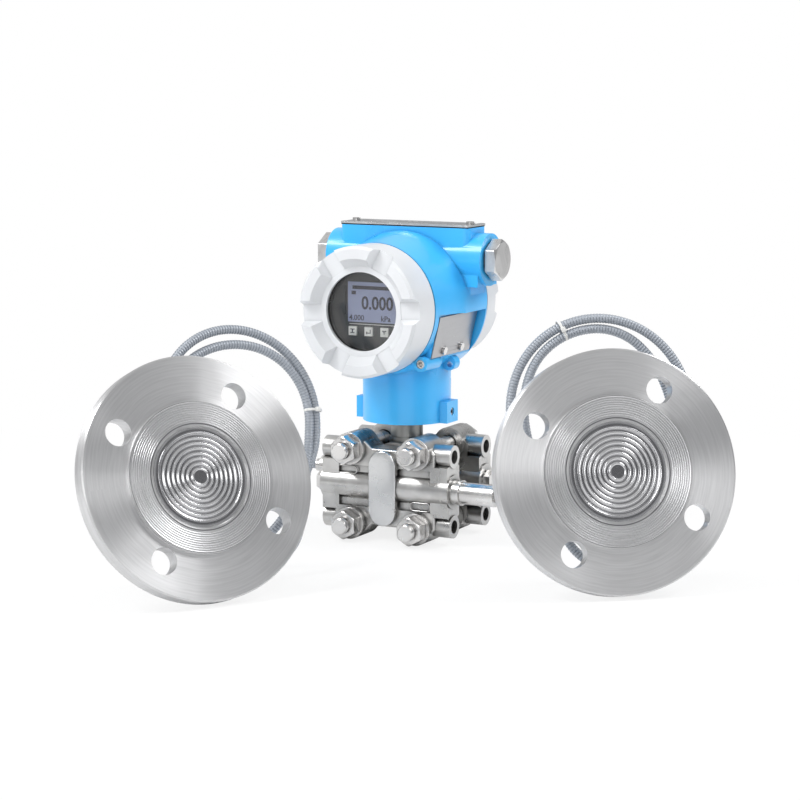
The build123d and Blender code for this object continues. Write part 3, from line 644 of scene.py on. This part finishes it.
def soften(piece, width, segments, angle=None):
    """Rounds the active piece's edges; without an angle, the modifier's own limit of 30 degrees holds."""
    bevel = piece.modifiers.new("edges", "BEVEL")
    bevel.width = width * MM
    bevel.segments = segments
    if angle:
        bevel.limit_method = "ANGLE"
        bevel.angle_limit = math.radians(angle)
    bpy.ops.object.modifier_apply(modifier="edges")


def settled(piece, body, material):
    """Names a finished piece's body and material."""
    piece.data.materials.clear()
    piece.data.materials.append(material)
    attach(piece, body)
    return piece


# Hexagons whose corners are turned off: axis, foot, length, radius, radius of the face, depth, x and z
ENTRY_CUT = (16.4, 12.9, 2.0)
NUT_CUT = (11.4, 9.1, 1.33)
TURNED_ENDS = {
    "right_entry_plug": ("X", 50.0, 24.0, *ENTRY_CUT, 0, 0),
    "left_entry_plug": ("X", -50.0, -24.0, *ENTRY_CUT, 0, 0),
}
for where, (bolt_x, bolt_z) in BOLTS.items():
    TURNED_ENDS[f"nut_{where}"] = ("Y", -40.0, -11.5, *NUT_CUT, bolt_x, bolt_z)
    TURNED_ENDS[f"bolt_{where}"] = ("Y", -60.0, 106.5, *NUT_CUT, bolt_x, bolt_z)


def turned_bar(axis, foot, length, radius, face_r, depth, x, z):
    """A round bar whose end is turned down, to cut the corners of a hexagon."""
    straight = (abs(length) - depth) * MM
    deselect_all()
    bpy.ops.mesh.primitive_cylinder_add(vertices=96, radius=radius * MM, depth=straight, location=(0, 0, 0))
    bar = bpy.context.object
    bar.data.transform(Matrix.Translation((0, 0, straight / 2)))
    for face in bar.data.polygons:
        face.select = face.normal.z > 0.9
    bpy.ops.object.mode_set(mode="EDIT")
    bpy.ops.mesh.select_mode(type="FACE")
    bpy.ops.mesh.inset(thickness=(radius - face_r) * MM)
    bpy.ops.transform.translate(value=(0, 0, depth * MM))
    bpy.ops.object.mode_set(mode="OBJECT")
    quarter = math.copysign(math.pi / 2, length)
    if axis == "X":
        bar.data.transform(Matrix.Rotation(quarter, 4, "Y"))
        bar.data.transform(moved(foot, ENTRY_Y, ENTRY_Z))
    else:
        bar.data.transform(Matrix.Rotation(-quarter, 4, "X"))
        bar.data.transform(moved(x, foot, z))
    return bar


EDGE_ANGLE = 32


def dressed(name, material, edge, steps):
    """A copy of a solid with rounded edges and smooth curves, which takes the solid's place."""
    source = node[name]
    piece = bpy.data.objects.new(f"{name}_skin", source.data.copy())
    bpy.context.collection.objects.link(piece)
    select_only(piece)
    bpy.ops.object.mode_set(mode="EDIT")
    bpy.ops.mesh.select_all(action="SELECT")
    bpy.ops.mesh.remove_doubles(threshold=1e-6)
    bpy.ops.mesh.tris_convert_to_quads()
    bpy.ops.object.mode_set(mode="OBJECT")
    if name in TURNED_ENDS:
        bar = turned_bar(*TURNED_ENDS[name])
        select_only(piece)
        cut = piece.modifiers.new("corners", "BOOLEAN")
        cut.operation = "INTERSECT"
        cut.solver = "EXACT"
        cut.object = bar
        bpy.ops.object.modifier_apply(modifier="corners")
        bpy.data.objects.remove(bar)
    if edge:
        soften(piece, edge, steps, EDGE_ANGLE)
    bpy.ops.object.shade_smooth_by_angle(angle=math.radians(EDGE_ANGLE + 4))
    weights = piece.modifiers.new("flats", "WEIGHTED_NORMAL")
    weights.keep_sharp = True
    bpy.ops.object.modifier_apply(modifier="flats")
    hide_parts(name)
    return settled(piece, source["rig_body"], material)


slots = {part["node"]: part["material_slot"] for part in frame["record"]["subparts"]}

# The node's finish, the radius of its edges and the steps in them; the membranes and ties are drawn further on
EDGES = {
    "housing": (BLUE, 1.1, 3), "front_cover": (WHITE, 0.6, 3), "rear_cover": (WHITE, 0.6, 3),
    "front_process_flange": (CAST, 0.7, 3), "rear_process_flange": (CAST, 0.7, 3),
    "sensor_body": (DARK_STEEL, 0.3, 2), "cell_gaskets": (RUBBER, 0, 1), "flange_washers": (STEEL, 0.25, 2),
    "front_stub_tube": (STEEL, 0.4, 2), "rear_stub_tube": (STEEL, 0.4, 2),
    "front_port_plug": (STEEL, 0.3, 2), "rear_port_plug": (STEEL, 0.3, 2),
    "tag_plate": (BRUSHED, 0.2, 2), "tag_screws": (STEEL, 0.3, 2), "neck_set_screws": (STEEL, 0.15, 1),
    "cover_lock_screw": (STEEL, 0.2, 2), "top_gasket": (RUBBER, 0, 1), "top_plate": (LID_STEEL, 0.25, 2),
    "left_plate_screw": (STEEL, 0.4, 2), "right_plate_screw": (STEEL, 0.4, 2),
    "left_plug_washer": (RUBBER, 0.2, 1), "right_plug_washer": (RUBBER, 0.2, 1),
    "left_entry_plug": (STEEL, 0.5, 3), "right_entry_plug": (STEEL, 0.5, 3),
    "front_cover_seal": (RUBBER, 0, 1), "rear_cover_seal": (RUBBER, 0, 1), "glass_ring": (STEEL, 0, 1),
    "left_seal_flange": (SEAL_STEEL, 0.3, 2), "right_seal_flange": (SEAL_STEEL, 0.3, 2),
    "left_seal_neck": (STEEL, 0.5, 2), "right_seal_neck": (STEEL, 0.5, 2),
    "display_module": (DISPLAY_GREY, 0, 1), "display_bezel": (DISPLAY_GREY, 0.15, 1),
    "terminal_block": (BLACK, 0.3, 2), "window_glass": (GLASS, 0, 1),
    "left_push_button": (BLACK, 0.3, 2), "right_push_button": (BLACK, 0.3, 2),
    "display_key_1": (KEY, 0.3, 2), "display_key_2": (KEY, 0.3, 2), "display_key_3": (KEY, 0.3, 2),
}
for where in BOLTS:
    EDGES[f"bolt_{where}"] = (STEEL, 0.4, 2)
    EDGES[f"nut_{where}"] = (STEEL, 0.35, 2)

skins = {name: dressed(name, material, edge, steps) for name, (material, edge, steps) in EDGES.items()}


# How much the height counts in a turned piece's UV map, so that its marks run on over the rim
HEIGHT_SHARE = 0.4


def add_turning(piece, frame_of_turning):
    """UV map of turned work: along the groove and across it, about the piece's own axis."""
    back = frame_of_turning.inverted()
    layer = piece.data.uv_layers.new(name="turning")
    mesh = piece.data
    spots = [back @ v.co for v in mesh.vertices]
    for face in mesh.polygons:
        first = None
        for corner in face.loop_indices:
            at = spots[mesh.loops[corner].vertex_index]
            angle = math.atan2(at.y, at.x)
            if first is None:
                middle = back @ face.center
                first = math.atan2(middle.y, middle.x)
            while angle - first > math.pi:
                angle -= 2 * math.pi
            while angle - first < -math.pi:
                angle += 2 * math.pi
            layer.data[corner].uv = (angle, math.hypot(at.x, at.y) + HEIGHT_SHARE * at.z)


def turned_disc(name, outline, turns=96, smooth=50):
    """A disc turned on a lathe: its outline from the middle out, as pairs of radius and height in millimetres."""
    deselect_all()
    first_r, first_z = outline[0]
    bpy.ops.mesh.primitive_circle_add(vertices=turns, radius=first_r * MM, fill_type="NGON",
                                      location=(0, 0, 0))
    piece = bpy.context.object
    piece.name = name
    piece.data.transform(Matrix.Translation((0, 0, first_z * MM)))
    bpy.ops.object.mode_set(mode="EDIT")
    bpy.ops.mesh.select_mode(type="VERT")
    bpy.ops.mesh.select_all(action="SELECT")
    for (r0, z0), (r1, z1) in zip(outline, outline[1:]):
        bpy.ops.mesh.extrude_edges_move(TRANSFORM_OT_translate={"value": (0, 0, (z1 - z0) * MM)})
        bpy.ops.transform.resize(value=(r1 / r0, r1 / r0, 1), center_override=(0, 0, z1 * MM))
    bpy.ops.mesh.select_all(action="SELECT")
    bpy.ops.mesh.normals_make_consistent(inside=False)
    bpy.ops.object.mode_set(mode="OBJECT")
    bpy.ops.object.shade_smooth_by_angle(angle=math.radians(smooth))
    return piece


# The membrane and the gasket face, as radii and heights from the rim's front
WAVES = 7
WAVE_STEPS = 8
WAVE_LIFT = 0.50
MEMBRANE_R = 28.5
MIDDLE_R = 4.6
MEMBRANE_Z = 2.0
WELD_RING = [(29.0, 2.1), (29.3, 2.75), (29.9, 3.0), (30.5, 2.75), (30.8, 2.0), (33.2, 2.0), (33.4, 1.6)]


def membrane_outline():
    """Flat middle, smooth waves, and the weld ring at the edge."""
    points = [(MIDDLE_R - inwards, MEMBRANE_Z) for inwards in (1.0, 0.1, 0)]
    steps = WAVES * WAVE_STEPS
    for k in range(1, steps + 1):
        share = k / steps
        lift = WAVE_LIFT * math.sin(2 * math.pi * WAVES * share)
        points.append((MIDDLE_R + (MEMBRANE_R - MIDDLE_R) * share, MEMBRANE_Z + lift))
    return points + WELD_RING


GROOVES = 9
GASKET_FACE = (35.0, 50.6)
FACE_Z = 2.8
GROOVE_Z = 2.36


def serrated_outline():
    """Ring of fine grooves round the raised face, for the gasket."""
    inner, outer = GASKET_FACE
    points = [(inner, 2.4), (inner + 0.15, 2.75), (inner + 1.2, FACE_Z)]
    start = inner + 1.6
    pitch = (outer - 0.5 - start) / GROOVES
    for k in range(GROOVES):
        r = start + pitch * k
        for share, z in ((0, FACE_Z), (0.24, GROOVE_Z), (0.52, GROOVE_Z), (0.80, FACE_Z)):
            points.append((r + share * pitch, z))
    return points + [(outer - 0.2, FACE_Z), (outer, 2.4)]


def opened(piece):
    """Takes out the disc's middle, which leaves a ring."""
    select_only(piece)
    bpy.ops.object.mode_set(mode="EDIT")
    bpy.ops.mesh.select_mode(type="FACE")
    bpy.ops.mesh.select_all(action="DESELECT")
    bpy.ops.object.mode_set(mode="OBJECT")
    for face in piece.data.polygons:
        face.select = len(face.vertices) > 4
    bpy.ops.object.mode_set(mode="EDIT")
    bpy.ops.mesh.delete(type="FACE")
    bpy.ops.object.mode_set(mode="OBJECT")


RING_TURNS = 128
for side, seal in SEALS.items():
    plate = turned_disc(f"{side}_membrane_skin", membrane_outline())
    plate.data.transform(seal)
    settled(plate, "base", MEMBRANE_STEEL)
    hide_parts(f"{side}_membrane")
    ring = turned_disc(f"{side}_gasket_face", serrated_outline(), RING_TURNS)
    opened(ring)
    ring.data.transform(seal)
    settled(ring, "base", SERRATED_STEEL)
    for piece in (skins[f"{side}_seal_flange"], plate, ring):
        add_turning(piece, seal)


# Cable ties: a thin strap drawn round two strands, with its lock

STRAP_WIDE = 1.9
STRAP_THICK = 0.7
LOCK = (3.6, 2.4, 3.2)


def cable_strap(side, coil, turn, packed):
    """A tie at an angle of the coil's top; packed holds both strands' radial and axial offsets there."""
    (a0, b0), (a1, b1) = packed
    middle = ((a0 + a1) / 2, (b0 + b1) / 2)
    reach = math.hypot(a1 - a0, b1 - b0) / 2
    tilt = math.atan2(b1 - b0, a1 - a0)
    deselect_all()
    bpy.ops.mesh.primitive_cylinder_add(vertices=40, radius=(STRAND_R + 0.15) * MM, depth=STRAP_WIDE * MM,
                                        end_fill_type="NOTHING", location=(0, 0, 0))
    strap = bpy.context.object
    strap.name = f"{side}_cable_strap"
    for v in strap.data.vertices:
        v.co.x += math.copysign(reach * MM, v.co.x) if abs(v.co.x) > 1e-6 else 0.0
    wall = strap.modifiers.new("wall", "SOLIDIFY")
    wall.thickness = STRAP_THICK * MM
    wall.offset = 1.0
    bpy.ops.object.modifier_apply(modifier="wall")
    soften(strap, 0.2, 2, 30)
    deselect_all()
    bpy.ops.mesh.primitive_cube_add(size=1, location=(0, 0, 0))
    lock = bpy.context.object
    lock.data.transform(Matrix.Translation((0, (STRAND_R + 1.6) * MM, 0))
                        @ Matrix.Diagonal((*[length * MM for length in LOCK], 1)))
    soften(lock, 0.4, 2)
    select_only(strap)
    lock.select_set(True)
    bpy.ops.object.join()
    bpy.ops.object.shade_smooth_by_angle(angle=math.radians(40))
    at = Vector((math.cos(turn), math.sin(turn), 0))
    along_it = Vector((-math.sin(turn), math.cos(turn), 0))
    axial = Vector((0, 0, 1))
    major = at * math.cos(tilt) + axial * math.sin(tilt)
    minor = along_it.cross(major)
    spot = Vector((coil.top.x, coil.top.y, COIL_PLANE)) + at * (coil.top_r + middle[0]) + axial * middle[1]
    to_seal = Matrix.Translation(spot * MM) @ Matrix((major, minor, along_it)).transposed().to_4x4()
    strap.data.transform(SEALS[side] @ to_seal)
    settled(strap, "base", TIE)
    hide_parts(f"{side}_cable_tie")


cable_strap("left", LEFT, math.radians(-3.0), ((4.15, 0.63), (-2.62, 3.28)))
cable_strap("right", RIGHT, math.radians(114.6), ((3.66, 2.06), (-3.60, 2.14)))

# Display: the panel with its figures, and the marks on the keys

def thin_piece(name, material, body, slot_name, at, size, edge=0.0):
    """A thin block; at is its middle and size its full lengths, in millimetres."""
    deselect_all()
    bpy.ops.mesh.primitive_cube_add(size=1, location=(0, 0, 0))
    block = bpy.context.object
    block.name = name
    block.data.transform(Matrix.Diagonal((*[length * MM for length in size], 1)))
    if edge:
        soften(block, edge, 2)
    block.data.transform(moved(*at))
    return settled(block, body, material)


# Where the figures and the keys' marks stand, and how thick they are
FIGURES_Y = -58.5
KEYS_Y = -59.22
MARK = 0.12


def figures(name, words, height, left, low, squeeze, weight):
    """Generic figures on the display, facing -Y."""
    deselect_all()
    bpy.ops.object.text_add(location=(0, 0, 0))
    text = bpy.context.object
    text.data.body = words
    text.data.extrude = MARK * MM
    text.data.offset = weight
    text.data.resolution_u = 3
    bpy.ops.object.convert(target="MESH")
    piece = bpy.context.object
    piece.name = name
    xs = [v.co.x for v in piece.data.vertices]
    ys = [v.co.y for v in piece.data.vertices]
    grow = height * MM / (max(ys) - min(ys))
    piece.data.transform(Matrix.Translation((-min(xs), -min(ys), 0)))
    piece.data.transform(Matrix.Diagonal((grow * squeeze, grow, 1, 1)))
    piece.data.transform(UPRIGHT)
    piece.data.transform(moved(left, FIGURES_Y, low))
    settled(piece, "housing", INK)


LCD = ("housing", slots["lcd_panel"])
panel = thin_piece("lcd_panel_skin", PANEL, *LCD, (3.2, -57.5, 180.0), (40.6, 1.9, 29.2), 0.2)
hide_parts("lcd_panel")
thin_piece("lcd_bar", INK, *LCD, (4.9, FIGURES_Y, 190.5), (36.2, MARK, 2.6))
thin_piece("lcd_mark", INK, *LCD, (-12.2, FIGURES_Y, 186.6), (3.6, MARK, 2.6))
figures("lcd_figures", "0.000", 9.9, -5.8, 174.6, 0.88, 0.022)
figures("lcd_current", "4.000", 4.0, -16.0, 166.6, 1.0, 0.01)
figures("lcd_unit", "kPa", 4.0, 10.2, 166.6, 1.0, 0.01)
thin_piece("bezel_line", KEY, "housing", slots["display_bezel"], (3.0, -58.02, 163.9), (38.0, MARK, 0.35))

# The strokes of each key's mark: offset across and up from the key's middle, width and height
KEY_PITCH = 13
KEY_Z = 158.8
KEY_MARKS = {
    1: ((0, 1.3, 3.4, 0.6), (0, -1.3, 3.4, 0.6), (0, 0, 0.9, 2.4)),
    2: ((0.3, -1.0, 3.2, 0.6), (1.6, 0.2, 0.6, 2.6), (-1.2, -1.0, 0.9, 1.9)),
    3: ((0, 1.0, 3.4, 0.6), (0, 0, 1.9, 0.6), (0, -1.0, 0.8, 0.6)),
}
for k, strokes in KEY_MARKS.items():
    key = f"display_key_{k}"
    for number, (dx, dz, wide, tall) in enumerate(strokes):
        thin_piece(f"key_{k}_mark_{number}", INK, node[key]["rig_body"], slots[key],
                   ((k - 2) * KEY_PITCH + dx, KEYS_Y, KEY_Z + dz), (wide, MARK, tall))

# Front process flange: its smooth oval plate, and two bare oval frames

def oval(name, material, at, long_half, radius, rim=None):
    """An upright oval whose ends are half circles; with rim it is a lying frame of that thickness."""
    deselect_all()
    if rim:
        bpy.ops.mesh.primitive_torus_add(major_radius=radius * MM, minor_radius=rim * MM, major_segments=56,
                                         minor_segments=10, location=(0, 0, 0))
        piece = bpy.context.object
    else:
        bpy.ops.mesh.primitive_cylinder_add(vertices=72, radius=radius * MM, depth=2.0 * MM, location=(0, 0, 0))
        piece = bpy.context.object
    piece.name = name
    for v in piece.data.vertices:
        if abs(v.co.y) > 1e-6:
            v.co.y += math.copysign(long_half * MM, v.co.y)
    if not rim:
        soften(piece, 1.1, 4, 50)
    bpy.ops.object.shade_smooth_by_angle(angle=math.radians(35))
    if rim:
        piece.data.transform(Matrix.Rotation(math.radians(90), 4, "Z"))
    piece.data.transform(UPRIGHT)
    piece.data.transform(moved(*at))
    settled(piece, "base", material)


oval("oval_plate", POLISHED, (0, -40.1, 40.0), 17.0, 11.15)
for side, frame_at in BARE_FRAMES.items():
    oval(f"bare_frame_{side}", CAST, frame_at, 5.3, 3.0, 0.42)


def lock_screw_gap_shadow():
    """A black ring in the gap round the cover's lock screw: painted shade, for the shadow in the gap."""
    deselect_all()
    bpy.ops.mesh.primitive_torus_add(major_radius=3.75 * MM, minor_radius=0.5 * MM, major_segments=40,
                                     minor_segments=8, location=(0, 0, 0))
    ring = bpy.context.object
    ring.name = "lock_screw_gap_shadow"
    bpy.ops.object.shade_smooth_by_angle(angle=math.radians(40))
    ring.data.transform(moved(35.47, -47.3, 135.6) @ UPRIGHT)
    settled(ring, "housing", BLACK)


lock_screw_gap_shadow()

# Threads on the tips of the studs

THREAD_LENGTH = 5.2
THREAD_PITCH = 1.1
CREST = 0.26
ROOT = 0.02


def thread_outline(r):
    """Rings of a thread, from the stud's tip down."""
    points = [(r * 0.3, 0.0), (r - 0.7, 0.0), (r + ROOT, -0.55)]
    at = 0.9
    while at + THREAD_PITCH < THREAD_LENGTH:
        for size, share in ((CREST, 0.35), (CREST, 0.5), (ROOT, 1)):
            points.append((r + size, -(at + share * THREAD_PITCH)))
        at += THREAD_PITCH
    return points


for where, (bolt_x, bolt_z) in BOLTS.items():
    thread = turned_disc(f"stud_thread_{where}", thread_outline(BOLT_R), 48, 25)
    thread.data.transform(UPRIGHT)
    thread.data.transform(moved(bolt_x, STUD_TIP_Y, bolt_z))
    settled(thread, "base", STEEL)

# The entry plugs' turned marks run round their axis
for side, way in (("left", -1), ("right", 1)):
    plug_frame = moved(0, ENTRY_Y, ENTRY_Z) @ Matrix.Rotation(way * math.pi / 2, 4, "Y")
    add_turning(skins[f"{side}_entry_plug"], plug_frame)
    skins[f"{side}_entry_plug"].data.materials[0] = TURNED_STEEL
